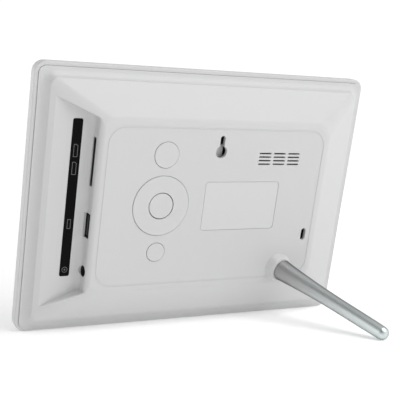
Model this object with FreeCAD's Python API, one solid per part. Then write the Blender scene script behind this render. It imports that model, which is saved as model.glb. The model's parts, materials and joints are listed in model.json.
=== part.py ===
import FreeCAD
import Part
import math
import os

# Digital photo frame with a seven-inch screen, standing on its lower edge and on one screw-in leg.
#
# Everything is first drawn upright: X to the right as seen from the front, Y from the front face
# towards the rear, Z up, with Y = 0 on the parting plane between bezel and rear cover and the
# middle of the face at X = Z = 0. The whole frame is then leaned back onto its leg, and its lowest
# points are put on the table. Millimetres.

# ---------------------------------------------------------------- driving sizes

# face and housing
FACE_W = 204.4
FACE_H = 145.0
FACE_CORNER_R = 6.0
BEZEL_DEPTH = 6.5
FACE_WALL = 2.0
FRONT_EDGE_R = 1.6
REAR_EDGE_R = 0.5
RIM_REVEAL = 2.1
PARTING_GAP = 0.1
WALL = 2.0
FLANGE_BELOW = 1.4
FLANGE_ABOVE = 0.6
LEDGE = 1.5

# stepped and sloping back
COVE_W = 5.2
COVE_FACETS = 7
STEP_H = 4.5
STEP_CORNER_R = 4.0
STEP_EDGE_R = 0.9
PANEL_Y = 14.9
RUN_PORT_SIDE = 24.8
RUN_LEG_SIDE = 22.4
RUN_TOP = 18.4
PLATEAU_CORNER_R = 9.0
PLATEAU_THICKER = 0.5
RIDGE_R = 8.0
RIDGE_W = 2.8
RIDGE_PORT_W = 3.9
GROOVE_W = 0.9
GROOVE_DEPTH = 0.18
PANEL_CORNER_R = 10.0

# port bay
BAY_FLOOR_Y = 5.7
BAY_FOOT_R = 3.5
BAY_END_INSIDE_RIDGE = 0.8
BAY_FLARE = 9.0
BAY_REACH = 21.3
BAY_CORNER_R = 8.0
BAY_EDGE_R = 3.0
BAY_SIDE_R = 0.7
BAY_WALL_OUT = 0.2
PORT_Y = 9.4

# ports, placed up or down from the middle of the panel
SD_Z = 23.4
SD_SLOT = 26.0
SD_SLOT_H = 3.1
SD_MOUTH = 24.6
SD_MOUTH_H = 2.3
SD_DEPTH = 20.0
SD_H = 2.9
SD_W = 28.0
SD_BASE_T = 0.6
SD_RAIL_W = 1.6
SD_BACK_W = 2.0
SD_SHELL_T = 0.2
SD_CONTACTS = 8
SD_CONTACT_PITCH = 2.5
SD_CONTACT_W = 1.0
SD_CONTACT_L = 6.0
CONTACT_T = 0.3
USB_Z = -10.9
USB_SLOT = 13.4
USB_SLOT_H = 5.6
USB_L = 14.0
USB_H = 5.3
USB_W = 12.9
USB_SHELL_T = 0.3
USB_SHELL_R = 0.6
USB_PLUG_DEPTH = 9.0
USB_TONGUE_W = 11.0
USB_TONGUE_T = 1.8
USB_TONGUE_UP = 0.6
USB_TONGUE_BACK = 0.4
USB_CONTACT_T = 0.15
USB_CONTACT_AT = (-3.5, -1.0, 1.0, 3.5)
JACK_Z = -36.2
JACK_R = 3.1
JACK_L = 12.0
JACK_H = 6.4
JACK_W = 9.0
JACK_BORE_R = 2.8
JACK_BORE_L = 9.5
JACK_PIN_R = 0.85
JACK_PIN_BACK = 1.2
SLOT_CORNER_R = 0.5
PORT_SKIN = 0.7
PORT_GAP = 0.1
PORT_PLAY = 0.05
NOTCH_PLAY = 0.3

# snap fit between bezel and cover
SKIRT_T = 1.4
SKIRT_Y = -4.1
SKIRT_GAP = 0.15
SNAP_L = 12.0
SNAP_H = 1.2
SNAP_OUT = 0.55
SNAP_PLAY = 0.15
SNAPS_ALONG = (-0.62, 0.0, 0.62)
SNAPS_UP = (-0.45, 0.45)

# screen and its module
VIEW_W = 153.4
VIEW_H = 92.4
VIEW_CORNER_R = 0.5
VIEW_CHAMFER = 0.8
WINDOW_T = 1.0
WINDOW_LAP = 3.2
WINDOW_CORNER_R = 0.8
SEAT_PLAY = 0.2
MODULE_W = 165.0
MODULE_H = 104.0
MODULE_CORNER_R = 1.0
GASKET_T = 0.5
GASKET_W = 3.0
CAN_T = 0.3
CAN_OPENING_LAP = 0.6
CELL_T = 1.4
FILM_T = 0.5
GUIDE_T = 1.8
REFLECTOR_T = 0.2
LAYER_CORNER_R = 0.3
TRAY_BACK_T = 0.5
TRAY_WALL = 1.6
TRAY_PLAY = 0.1
LED_T = 1.2
LED_FROM_END = 3.0
LED_PLAY = 0.2
RIB_L = 14.0
RIB_T = 1.4
RIB_H = 3.0
RIBS_ALONG = (-0.3, 0.3)

# chassis, its screws and its slots
CHASSIS_T = 0.8
CHASSIS_MARGIN = 1.2
CHASSIS_CORNER_R = 3.0
CHASSIS_SLOT_W = 14.0
CHASSIS_SLOT_H = 5.0
CHASSIS_SLOT_PITCH = 26.0
CHASSIS_SLOTS = 5
CHASSIS_SLOT_DOWN = 8.0
SCREW_R = 1.0
SCREW_PLAY = 0.2
SCREW_HEAD_R = 2.2
SCREW_HEAD_H = 1.2
SCREW_HEAD_ROUND = 0.5
SCREW_CROSS_L = 2.4
SCREW_CROSS_W = 0.5
SCREW_CROSS_FLOOR = 0.6
SCREW_BLIND = 0.8
CHASSIS_SCREW_L = 4.4
BOARD_SCREW_L = 4.6
BOSS_R = 3.1
BOSS_INSET = 5.0
STANDOFF_R = 2.5
STANDOFF_H = 4.2

# main board and what it carries
BOARD_T = 1.6
BOARD_CLEARANCE = 0.3
BOARD_PAST_SPEAKER = 4.3
BOARD_BELOW_TOP = 5.5
BOARD_ABOVE_BOTTOM = 2.5
BOARD_HOLE_INSET = 4.5
BOARD_HOLE_FROM_JACK = 14.0
KEYHOLE_NOTCH_SIDE = 6.0
KEYHOLE_NOTCH_BELOW = 3.5
CHIP_LIFT = 0.1
CHIP_LEAD_L = 0.8
CHIP_LEAD_T = 0.35
CHIP_LEAD_INSET = 0.6
PROCESSOR = (-33.0, -12.0, 20.0, 18.0, 1.5)
MEMORY_BIG = (-35.0, 8.0, 18.0, 8.0, 1.2)
MEMORY_SMALL = (-55.0, 4.0, 12.0, 8.0, 1.2)
COIL_FROM_BUTTONS = 17.0
COIL_ABOVE_JACK = 6.0
COIL_W = 8.0
COIL_R = 1.5
COIL_H = 3.6
CAN_COUNT = 3
CAN_R = 2.6
CAN_H = 4.0
CAN_PITCH = 7.5
CAN_FROM_BUTTONS = 4.0
CAN_FROM_EDGE = 4.2
CELL_FROM_BUTTONS = 56.0
CELL_FROM_EDGE = 16.0
CELL_R = 6.25
CELL_H = 2.0
CELL_FLOOR = 0.4
CLIP_R = 7.6
CLIP_H = 1.8
CLIP_PLAY = 0.1

# flat cable from the screen to the board
RIBBON_W = 26.0
RIBBON_T = 0.3
RIBBON_X = 20.0
RIBBON_FROM_INSIDE = 5.0
RIBBON_SLOT_H = 3.0
RIBBON_SLOT_SIDE = 1.5
RIBBON_SLOT_R = 1.0
RIBBON_LEAVES = 0.8
RIBBON_UNDER_BOARD = 1.2
RIBBON_CLIMB = 12.0
CONNECTOR_T = 2.4
CONNECTOR_H = 4.5
CONNECTOR_SIDE = 1.5

# buttons, in a column beside the ports
BUTTON_FROM_PORTS = 38.95
BUTTON_GAP = 0.22
BUTTON_PROUD = 0.35
BUTTON_EDGE_R = 0.3
BUTTON_TRAVEL = 0.3
BUTTON_SLACK = 0.1
FLANGE_LAP = 1.0
FLANGE_T = 1.0
POST_WIDER = 0.4
MENU_Z = 28.8
MENU_R = 7.3
POWER_Z = -25.4
POWER_R = 5.45
PAD_Z = 0.8
PAD_R = 16.75
OK_SHARE = 0.43
SWITCH_W = 6.0
SMALL_SWITCH_W = 4.5
SWITCH_H = 1.7
SWITCH_CORNER_R = 0.5
SWITCH_FLOOR = 0.5
STEM_R = 1.5
STEM_PROUD = 0.7
STEM_SUNK = 0.7
STEM_PLAY = 0.06
PAD_SWITCH_GAP = 0.3
PAD_SLACK = 0.12
PAD_DROP = 0.5
OK_DROP = 0.5
GIMBAL_INSIDE_EDGE = 1.25
GIMBAL_W = 1.7
GIMBAL_T = 1.2
GIMBAL_DROP = 0.6
GIMBAL_PLAY = 0.35
GIMBAL_PIN_ROOT = 0.5
GIMBAL_CRADLE_GAP = 0.5
PIVOT_R = 0.6
PIVOT_PLAY = 0.05
EAR_T = 1.2
EAR_W = 2.6
PAD_EAR_BELOW = 0.7
COVER_EAR_BELOW = 1.0

# rear openings and marks
KEYHOLE_DOWN = 13.2
KEYHOLE_ENTRY_R = 3.45
KEYHOLE_SLOT_R = 1.5
KEYHOLE_RISE = 7.5
KEYHOLE_DEPTH = 2.4
KEYHOLE_WALL = 1.2
KEYHOLE_SIDE = 0.6
KEYHOLE_ABOVE = 1.4
KEYHOLE_POCKET_R = 1.0
GRILLE_FROM_EDGE = 29.5
GRILLE_DOWN = 16.8
SLIT_L = 8.0
SLIT_H = 0.9
SLIT_PITCH_X = 9.65
SLIT_PITCH_Z = 2.05
SLIT_COLUMNS = 3
SLIT_ROWS = 4
LABEL_W = 47.8
LABEL_H = 28.0
LABEL_R = 2.0
LABEL_FROM_EDGE = 51.1
LABEL_RECESS = 0.35
LABEL_T = 0.25
LABEL_GAP = 0.25
LOCK_FROM_EDGE = 4.7
LOCK_Z = -18.3
LOCK_W = 3.2
LOCK_L = 7.2
LOCK_PLATE_T = 1.2
LOCK_PLATE_W = 10.0
LOCK_PLATE_LONGER = 9.5
LOCK_PLATE_R = 1.0
LOCK_PLATE_PLAY = 0.1
LOCK_POST_R = 1.0
LOCK_POST_FROM_SLOT = 2.6
LOCK_POST_PROUD = 0.5
STRIP_W = 5.5
STRIP_SHORT_OF_BAY = 6.8
STRIP_R = 1.0
STRIP_Z = 2.7
STRIP_FROM_WALL = 8.9
STRIP_T = 0.5
STRIP_RECESS = 0.35
STRIP_PLAY = 0.05

# speaker
SPEAKER_R = 13.5
SPEAKER_T = 4.6
SPEAKER_RIM_T = 0.8
SPEAKER_METAL = 0.6
BASKET_FOOT = 2.5
BASKET_SHOULDER = 1.0
CONE_R = 3.5
CONE_RISE = 1.2
CONE_INSIDE_RIM = 1.8
CONE_T = 0.3
CONE_DOWN = 0.6
MAGNET_R = 6.5
MAGNET_T = 1.6
MAGNET_PROUD = 0.4
CLOTH_T = 0.2
COLLAR_T = 1.2
COLLAR_DOWN = 1.5

# leg
LEG_FROM_EDGE = 17.6
LEG_FROM_BOTTOM = 4.7
LEG_SPLAY_SIDE = 12.1
LEG_SPLAY_DOWN = 6.6
LEG_REACH = 77.7
LEG_ROOT_R = 6.2
LEG_NECK_R = 4.95
LEG_WAIST_R = 4.2
LEG_TIP_R = 3.7
LEG_NECK_AT = 0.24
LEG_WAIST_AT = 0.5
LEG_SHANK_AT = 0.78
LEG_CHAMFER = 0.5
LEG_CHAMFER_IN = 0.4
BOSS_FACE_UP = 2.2
BOSS_FACE_R = 7.5
BOSS_FACE_EDGE_R = 1.8
BOSS_FOOT_R = 9.8
BOSS_FOOT_DEPTH = 5.0
BOSS_TUBE_R = 6.0
BOSS_TUBE_FLOOR = 1.8
INSERT_R = 4.2
INSERT_L = 9.5
INSERT_SUNK = 0.3
INSERT_FLOOR = 0.5
STUD_R = 3.0
STUD_PLAY = 0.05
STUD_IN_INSERT = 8.5
STUD_IN_LEG = 12.0
STUD_END_GAP = 0.1
LEG_GAP = 0.1

# how far parts run into each other where they are one moulding, and cutters run past a face
MELT = 0.2
PAST = 1.0
ROUND_END = 0.01

# ---------------------------------------------------------------- places that follow

COVER_W = FACE_W - 2 * RIM_REVEAL
COVER_H = FACE_H - 2 * RIM_REVEAL
COVER_CORNER_R = FACE_CORNER_R - RIM_REVEAL
FACE_INNER_Y = FACE_WALL - BEZEL_DEPTH
STEP_X = COVER_W / 2 - COVE_W
STEP_Z = COVER_H / 2 - COVE_W
PLATEAU_PORT_X = STEP_X - RUN_PORT_SIDE
PLATEAU_LEG_X = -(STEP_X - RUN_LEG_SIDE)
PLATEAU_Z = STEP_Z - RUN_TOP
PANEL_PORT_X = PLATEAU_PORT_X - RIDGE_PORT_W
PANEL_LEG_X = PLATEAU_LEG_X + RIDGE_W
PANEL_Z = PLATEAU_Z - RIDGE_W
PANEL_CX = (PANEL_PORT_X + PANEL_LEG_X) / 2
INNER_Y = PANEL_Y - WALL
INNER_STEP_Y = STEP_H - WALL * 0.6
BAY_WALL_X = PLATEAU_PORT_X + BAY_WALL_OUT
BAY_HALF_IN = PLATEAU_Z - BAY_END_INSIDE_RIDGE
BUTTON_X = BAY_WALL_X - BUTTON_FROM_PORTS
MODULE_Y0 = FACE_INNER_Y + GASKET_T
MODULE_Y1 = MODULE_Y0 + CAN_T + CELL_T + FILM_T + GUIDE_T + REFLECTOR_T + TRAY_BACK_T
CHASSIS_Y0 = MODULE_Y1
CHASSIS_Y1 = CHASSIS_Y0 + CHASSIS_T
BOARD_Y0 = CHASSIS_Y1 + STANDOFF_H
BOARD_Y1 = BOARD_Y0 + BOARD_T
INNER_X = STEP_X - WALL
INNER_Z = STEP_Z - WALL
SPEAKER_X = PANEL_LEG_X + GRILLE_FROM_EDGE
SPEAKER_Z = PANEL_Z - GRILLE_DOWN
BOARD_PORT_X = BAY_WALL_X - WALL - BOARD_CLEARANCE
BOARD_LEG_X = SPEAKER_X + BOARD_PAST_SPEAKER
BOARD_TOP = PANEL_Z - BOARD_BELOW_TOP
BOARD_BOTTOM = -(PANEL_Z - BOARD_ABOVE_BOTTOM)
SOCKET_X = BAY_WALL_X - PORT_SKIN - PORT_GAP
SD_Y = BOARD_Y1 + (SD_BASE_T + SD_H - SD_SHELL_T) / 2
USB_X = BAY_WALL_X - PORT_GAP
RIBBON_Z = -(INNER_Z - CHASSIS_MARGIN - RIBBON_FROM_INSIDE)
KEYHOLE_X = PANEL_CX
KEYHOLE_Z = PANEL_Z - KEYHOLE_DOWN
KEYHOLE_NOTCH_X = KEYHOLE_X + KEYHOLE_ENTRY_R + KEYHOLE_NOTCH_SIDE
LABEL_X = PANEL_LEG_X + LABEL_FROM_EDGE
LOCK_X = PANEL_LEG_X + LOCK_FROM_EDGE
STRIP_X = BAY_WALL_X + STRIP_FROM_WALL
STRIP_L = 2 * BAY_HALF_IN - STRIP_SHORT_OF_BAY
LEG_X = PANEL_LEG_X + LEG_FROM_EDGE
LEG_Z = -(PANEL_Z - LEG_FROM_BOTTOM)
CAP_TOP_Y = PANEL_Y + BUTTON_PROUD
STEM_TOP_Y = BOARD_Y1 + SWITCH_H + STEM_PROUD
OK_R = PAD_R * OK_SHARE
PAD_FLANGE_Y1 = INNER_Y - PAD_DROP
PAD_FLANGE_Y0 = PAD_FLANGE_Y1 - FLANGE_T
GIMBAL_R_IN = PAD_R - GIMBAL_INSIDE_EDGE
PAD_SWITCH_AT = GIMBAL_R_IN - GIMBAL_PLAY - EAR_T - PAD_SWITCH_GAP - SMALL_SWITCH_W / 2
GIMBAL_R_OUT = GIMBAL_R_IN + GIMBAL_W
GIMBAL_Y = PAD_FLANGE_Y0 - GIMBAL_DROP - GIMBAL_T / 2
CRADLE_R = PAD_R + FLANGE_LAP + GIMBAL_CRADLE_GAP
SKIRT_X = COVER_W / 2 - LEDGE - SKIRT_GAP
SKIRT_Z = COVER_H / 2 - LEDGE - SKIRT_GAP

# ---------------------------------------------------------------- drawing helpers

REAR = FreeCAD.Vector(0, 1, 0)
SIDEWAYS = FreeCAD.Vector(1, 0, 0)
UP = FreeCAD.Vector(0, 0, 1)
BOTH_SIDES = (-1, 1)
pieces = {}


def point(x, y, z):
    return FreeCAD.Vector(x, y, z)


def block(x0, x1, y0, y1, z0, z1):
    """A box between two opposite corners, given in either order along each axis."""
    low = point(min(x0, x1), min(y0, y1), min(z0, z1))
    return Part.makeBox(abs(x1 - x0), abs(y1 - y0), abs(z1 - z0), low)


def disc(x, z, radius, y0, y1):
    """A round bar along the depth of the frame."""
    return Part.makeCylinder(radius, y1 - y0, point(x, y0, z), REAR)


def rounded_wire(x0, x1, z0, z1, radius, y):
    """A rectangle with round corners in the plane at depth y."""
    k = radius * (1 - math.sqrt(0.5))
    corners = [
        (x1 - radius, z0, x1 - k, z0 + k, x1, z0 + radius),
        (x1, z1 - radius, x1 - k, z1 - k, x1 - radius, z1),
        (x0 + radius, z1, x0 + k, z1 - k, x0, z1 - radius),
        (x0, z0 + radius, x0 + k, z0 + k, x0 + radius, z0),
    ]
    edges = []
    for i, (ax, az, mx, mz, bx, bz) in enumerate(corners):
        arc = Part.Arc(point(ax, y, az), point(mx, y, mz), point(bx, y, bz))
        edges.append(arc.toShape())
        nx, nz = corners[(i + 1) % 4][:2]
        edges.append(Part.makeLine(point(bx, y, bz), point(nx, y, nz)))
    return Part.Wire(edges)


def plate(x0, x1, z0, z1, radius, y0, y1):
    """A flat slab with round corners, from depth y0 to y1."""
    face = Part.Face(rounded_wire(x0, x1, z0, z1, radius, y0))
    return face.extrude(point(0, y1 - y0, 0))


def centred_plate(width, height, radius, y0, y1, x=0, z=0):
    return plate(x - width / 2, x + width / 2, z - height / 2, z + height / 2, radius, y0, y1)


def plate_along_x(y0, y1, z0, z1, radius, x0, x1):
    """A slab with round corners whose length runs along X."""
    slab = plate(z0, z1, y0, y1, radius, 0, x1 - x0)
    matrix = FreeCAD.Matrix(0, 1, 0, x0, 0, 0, 1, 0, 1, 0, 0, 0, 0, 0, 0, 1)
    return slab.transformGeometry(matrix)


def polygon_prism(points, direction):
    """A prism from a closed list of corner points."""
    return Part.Face(Part.makePolygon(points + points[:1])).extrude(direction)


def fuse(shapes):
    return shapes[0].fuse(shapes[1:]).removeSplitter()


def edges_at_depth(shape, y, tolerance=1e-4):
    """The edges that lie flat in the plane at depth y."""
    found = []
    for edge in shape.Edges:
        box = edge.BoundBox
        if abs(box.YMin - y) < tolerance and abs(box.YMax - y) < tolerance:
            found.append(edge)
    return found


def keep(name, *solids):
    """Files one node: a single solid, or a group of separate ones."""
    pieces[name] = solids[0] if len(solids) == 1 else Part.makeCompound(list(solids))


# ---------------------------------------------------------------- front bezel and window


def chassis_boss_places():
    x = INNER_X - BOSS_INSET
    z = INNER_Z - BOSS_INSET
    return [(sx * x, sz * z) for sx in BOTH_SIDES for sz in BOTH_SIDES]


def snap_places():
    """Middle of each snap, and whether it lies along X."""
    places = []
    for side in BOTH_SIDES:
        for share in SNAPS_ALONG:
            places.append((share * COVER_W / 2, side * (COVER_H / 2 - LEDGE), True))
        for share in SNAPS_UP:
            places.append((side * (COVER_W / 2 - LEDGE), share * COVER_H / 2, False))
    return places


def snap_block(x, z, along_x, reach, grow):
    half = SNAP_L / 2 + grow
    y_mid = (SKIRT_Y - FLANGE_BELOW) / 2
    y0 = y_mid - SNAP_H / 2 - grow
    y1 = y_mid + SNAP_H / 2 + grow
    if along_x:
        return block(x - half, x + half, y0, y1, z - reach, z + reach)
    return block(x - reach, x + reach, y0, y1, z - half, z + half)


def view_opening():
    """The hole over the picture, with its flared front edge."""
    half_w = VIEW_W / 2
    half_h = VIEW_H / 2
    c = VIEW_CHAMFER
    hole = centred_plate(VIEW_W, VIEW_H, VIEW_CORNER_R, -BEZEL_DEPTH - PAST, 0)
    flare = Part.makeLoft([
        rounded_wire(-half_w - c, half_w + c, -half_h - c, half_h + c, VIEW_CORNER_R + c, -BEZEL_DEPTH),
        rounded_wire(-half_w, half_w, -half_h, half_h, VIEW_CORNER_R, -BEZEL_DEPTH + c),
    ], True, True)
    return [hole, flare]


def locating_ribs():
    """Short ribs inside the face that hold the screen module square."""
    y0 = FACE_INNER_Y
    y1 = FACE_INNER_Y + RIB_H
    ribs = []
    for side in BOTH_SIDES:
        z = side * (MODULE_H / 2 + SEAT_PLAY)
        for share in RIBS_ALONG:
            x = share * MODULE_W
            ribs.append(block(x - RIB_L / 2, x + RIB_L / 2, y0, y1, z, z + side * RIB_T))
        x = side * (MODULE_W / 2 + SEAT_PLAY)
        ribs.append(block(x, x + side * RIB_T, y0, y1, -RIB_L / 2, RIB_L / 2))
    return ribs


def build_front_bezel():
    body = centred_plate(FACE_W, FACE_H, FACE_CORNER_R, -BEZEL_DEPTH, 0)
    body = body.makeFillet(FRONT_EDGE_R, edges_at_depth(body, -BEZEL_DEPTH))
    body = body.makeFillet(REAR_EDGE_R, edges_at_depth(body, 0))
    rabbet = centred_plate(COVER_W + 2 * PARTING_GAP, COVER_H + 2 * PARTING_GAP,
                           COVER_CORNER_R + PARTING_GAP, -FLANGE_BELOW, PAST)
    inside = centred_plate(COVER_W - 2 * LEDGE, COVER_H - 2 * LEDGE, COVER_CORNER_R,
                           FACE_INNER_Y, 0)
    seat_lap = 2 * (WINDOW_LAP + SEAT_PLAY)
    seat = centred_plate(VIEW_W + seat_lap, VIEW_H + seat_lap, WINDOW_CORNER_R + SEAT_PLAY,
                         FACE_INNER_Y - WINDOW_T, 0)
    body = body.cut([rabbet, inside, seat] + view_opening())
    for x, z, along_x in snap_places():
        body = body.cut(snap_block(x, z, along_x, SNAP_OUT + SNAP_PLAY, SNAP_PLAY))
    for x, z in chassis_boss_places():
        boss = disc(x, z, BOSS_R, FACE_INNER_Y, CHASSIS_Y0)
        hole = disc(x, z, SCREW_R, FACE_INNER_Y + SCREW_BLIND, CHASSIS_Y0 + PAST)
        body = body.fuse(boss).cut(hole)
    return fuse([body] + locating_ribs())


def build_screen_window():
    return centred_plate(VIEW_W + 2 * WINDOW_LAP, VIEW_H + 2 * WINDOW_LAP, WINDOW_CORNER_R,
                         FACE_INNER_Y - WINDOW_T, FACE_INNER_Y)


# ---------------------------------------------------------------- screen module


def build_gasket():
    ring = centred_plate(MODULE_W, MODULE_H, MODULE_CORNER_R, FACE_INNER_Y, MODULE_Y0)
    hole = centred_plate(MODULE_W - 2 * GASKET_W, MODULE_H - 2 * GASKET_W, MODULE_CORNER_R,
                         FACE_INNER_Y, MODULE_Y0)
    keep("lcd_gasket", ring.cut(hole))


def build_can():
    can = centred_plate(MODULE_W, MODULE_H, MODULE_CORNER_R, MODULE_Y0, MODULE_Y1 - TRAY_BACK_T)
    room = centred_plate(MODULE_W - 2 * CAN_T, MODULE_H - 2 * CAN_T, MODULE_CORNER_R - CAN_T,
                         MODULE_Y0 + CAN_T, MODULE_Y1)
    opening = centred_plate(VIEW_W + 2 * CAN_OPENING_LAP, VIEW_H + 2 * CAN_OPENING_LAP,
                            VIEW_CORNER_R, MODULE_Y0 - PAST, MODULE_Y0 + PAST)
    keep("lcd_can", can.cut([room, opening]))


def build_screen_module():
    """The display's layers, from its gasket back to its tray."""
    build_gasket()
    build_can()
    tray_w = MODULE_W - 2 * (CAN_T + TRAY_PLAY)
    tray_h = MODULE_H - 2 * (CAN_T + TRAY_PLAY)
    well_w = tray_w - 2 * TRAY_WALL
    well_h = tray_h - 2 * TRAY_WALL
    cell_y0 = MODULE_Y0 + CAN_T
    tray = centred_plate(tray_w, tray_h, MODULE_CORNER_R - CAN_T, cell_y0, MODULE_Y1)
    well = centred_plate(well_w, well_h, VIEW_CORNER_R, cell_y0 - PAST, MODULE_Y1 - TRAY_BACK_T)
    keep("lcd_tray", tray.cut(well))

    layer_w = well_w - 2 * SEAT_PLAY
    layer_h = well_h - 2 * SEAT_PLAY
    film_y0 = cell_y0 + CELL_T
    guide_y0 = film_y0 + FILM_T
    guide_y1 = guide_y0 + GUIDE_T
    for name, y0, y1 in (
            ("lcd_cell", cell_y0, film_y0),
            ("optical_films", film_y0, guide_y0),
            ("reflector_sheet", guide_y1, guide_y1 + REFLECTOR_T)):
        keep(name, centred_plate(layer_w, layer_h, LAYER_CORNER_R, y0, y1))
    keep("light_guide", plate(-layer_w / 2, layer_w / 2, LED_T - layer_h / 2, layer_h / 2,
                              LAYER_CORNER_R, guide_y0, guide_y1))
    strip_x = layer_w / 2 - LED_FROM_END
    strip_z = -layer_h / 2
    keep("led_strip", block(-strip_x, strip_x, guide_y0 + LED_PLAY, guide_y1 - LED_PLAY,
                            strip_z, strip_z + LED_T - TRAY_PLAY))


# ---------------------------------------------------------------- chassis and screws


def board_screw_places():
    top = BOARD_TOP - BOARD_HOLE_INSET
    bottom = BOARD_BOTTOM + BOARD_HOLE_INSET
    return [
        (BOARD_PORT_X - SD_DEPTH - BOARD_HOLE_INSET, top),
        (BOARD_PORT_X - BOARD_HOLE_FROM_JACK - BOARD_HOLE_INSET, bottom),
        (BOARD_LEG_X + BOARD_HOLE_INSET, bottom),
        (KEYHOLE_NOTCH_X + BOARD_HOLE_INSET, top),
    ]


def pan_screw(x, z, seat_y, length):
    """A small machine screw: domed head on its seat, shank going forward."""
    head_y = seat_y + SCREW_HEAD_H
    floor_y = seat_y + SCREW_CROSS_FLOOR
    long = SCREW_CROSS_L / 2
    thin = SCREW_CROSS_W / 2
    head = disc(x, z, SCREW_HEAD_R, seat_y, head_y)
    head = head.makeFillet(SCREW_HEAD_ROUND, edges_at_depth(head, head_y))
    slot_a = block(x - long, x + long, floor_y, head_y + PAST, z - thin, z + thin)
    slot_b = block(x - thin, x + thin, floor_y, head_y + PAST, z - long, z + long)
    shank = disc(x, z, SCREW_R, seat_y - length, seat_y)
    return head.cut([slot_a, slot_b]).fuse(shank)


def build_chassis():
    width = 2 * (INNER_X - CHASSIS_MARGIN)
    height = 2 * (INNER_Z - CHASSIS_MARGIN)
    y0 = CHASSIS_Y0 - PAST
    y1 = CHASSIS_Y1 + PAST
    body = centred_plate(width, height, CHASSIS_CORNER_R, CHASSIS_Y0, CHASSIS_Y1)
    cuts = [disc(x, z, SCREW_R + SCREW_PLAY, y0, y1) for x, z in chassis_boss_places()]
    for i in range(CHASSIS_SLOTS):
        x = (i - (CHASSIS_SLOTS - 1) / 2) * CHASSIS_SLOT_PITCH
        cuts.append(centred_plate(CHASSIS_SLOT_W, CHASSIS_SLOT_H, CHASSIS_SLOT_H / 2 - ROUND_END,
                                  y0, y1, x, height / 2 - CHASSIS_SLOT_DOWN))
    cuts.append(centred_plate(RIBBON_W + 2 * RIBBON_SLOT_SIDE, RIBBON_SLOT_H, RIBBON_SLOT_R,
                              y0, y1, RIBBON_X, RIBBON_Z))
    keep("chassis_plate", body.cut(cuts))
    keep("chassis_screws", *[pan_screw(x, z, CHASSIS_Y1, CHASSIS_SCREW_L)
                             for x, z in chassis_boss_places()])
    posts = []
    for x, z in board_screw_places():
        post = disc(x, z, STANDOFF_R, CHASSIS_Y1, BOARD_Y0)
        posts.append(post.cut(disc(x, z, SCREW_R, CHASSIS_Y1 + SCREW_CROSS_FLOOR, BOARD_Y0 + PAST)))
    keep("board_standoffs", *posts)
    keep("board_screws", *[pan_screw(x, z, BOARD_Y1, BOARD_SCREW_L)
                           for x, z in board_screw_places()])


# ---------------------------------------------------------------- main board and what it carries


def build_main_board():
    """Circuit board, notched round the keyhole's pocket and the two sockets sunk into it."""
    y0 = BOARD_Y0 - PAST
    y1 = BOARD_Y1 + PAST
    port_x = BOARD_PORT_X + PAST
    board = block(BOARD_LEG_X, BOARD_PORT_X, BOARD_Y0, BOARD_Y1, BOARD_BOTTOM, BOARD_TOP)
    keyhole_notch = block(BOARD_LEG_X - PAST, KEYHOLE_NOTCH_X, y0, y1,
                          KEYHOLE_Z - KEYHOLE_ENTRY_R - KEYHOLE_NOTCH_BELOW, BOARD_TOP + PAST)
    notches = [keyhole_notch]
    for end, width, z in ((USB_X - USB_L, USB_W, USB_Z), (SOCKET_X - JACK_L, JACK_W, JACK_Z)):
        half = width / 2 + NOTCH_PLAY
        notches.append(block(end, port_x, y0, y1, z - half, z + half))
    holes = [disc(x, z, SCREW_R + SCREW_PLAY, y0, y1) for x, z in board_screw_places()]
    keep("main_board", board.cut(notches + holes))


def chip(from_buttons, from_pad, width, height, thickness):
    """A flat chip package with a row of leads along two sides."""
    x = BUTTON_X + from_buttons
    z = PAD_Z + from_pad
    body = block(x - width / 2, x + width / 2, BOARD_Y1 + CHIP_LIFT, BOARD_Y1 + thickness,
                 z - height / 2, z + height / 2)
    lead_x = width / 2 - CHIP_LEAD_INSET
    rows = []
    for side in BOTH_SIDES:
        lead_z = z + side * height / 2
        rows.append(block(x - lead_x, x + lead_x, BOARD_Y1, BOARD_Y1 + CHIP_LEAD_T,
                          lead_z, lead_z + side * CHIP_LEAD_L))
    return fuse([body] + rows)


def build_board_parts():
    keep("processor", chip(*PROCESSOR))
    keep("memory_chips", chip(*MEMORY_BIG), chip(*MEMORY_SMALL))
    keep("power_coil", centred_plate(COIL_W, COIL_W, COIL_R, BOARD_Y1, BOARD_Y1 + COIL_H,
                                     BUTTON_X + COIL_FROM_BUTTONS, JACK_Z + COIL_ABOVE_JACK))
    cans = []
    for i in range(CAN_COUNT):
        cans.append(disc(BUTTON_X + CAN_FROM_BUTTONS - CAN_PITCH * i, BOARD_BOTTOM + CAN_FROM_EDGE,
                         CAN_R, BOARD_Y1, BOARD_Y1 + CAN_H))
    keep("capacitors", *cans)
    cell_x = BUTTON_X - CELL_FROM_BUTTONS
    cell_z = BOARD_BOTTOM + CELL_FROM_EDGE
    cell_y = BOARD_Y1 + CELL_FLOOR
    clip = disc(cell_x, cell_z, CLIP_R, BOARD_Y1, BOARD_Y1 + CLIP_H)
    clip = clip.cut(disc(cell_x, cell_z, CELL_R + CLIP_PLAY, cell_y, BOARD_Y1 + CLIP_H + PAST))
    keep("cell_holder", clip)
    keep("coin_cell", disc(cell_x, cell_z, CELL_R, cell_y, cell_y + CELL_H))


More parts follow.
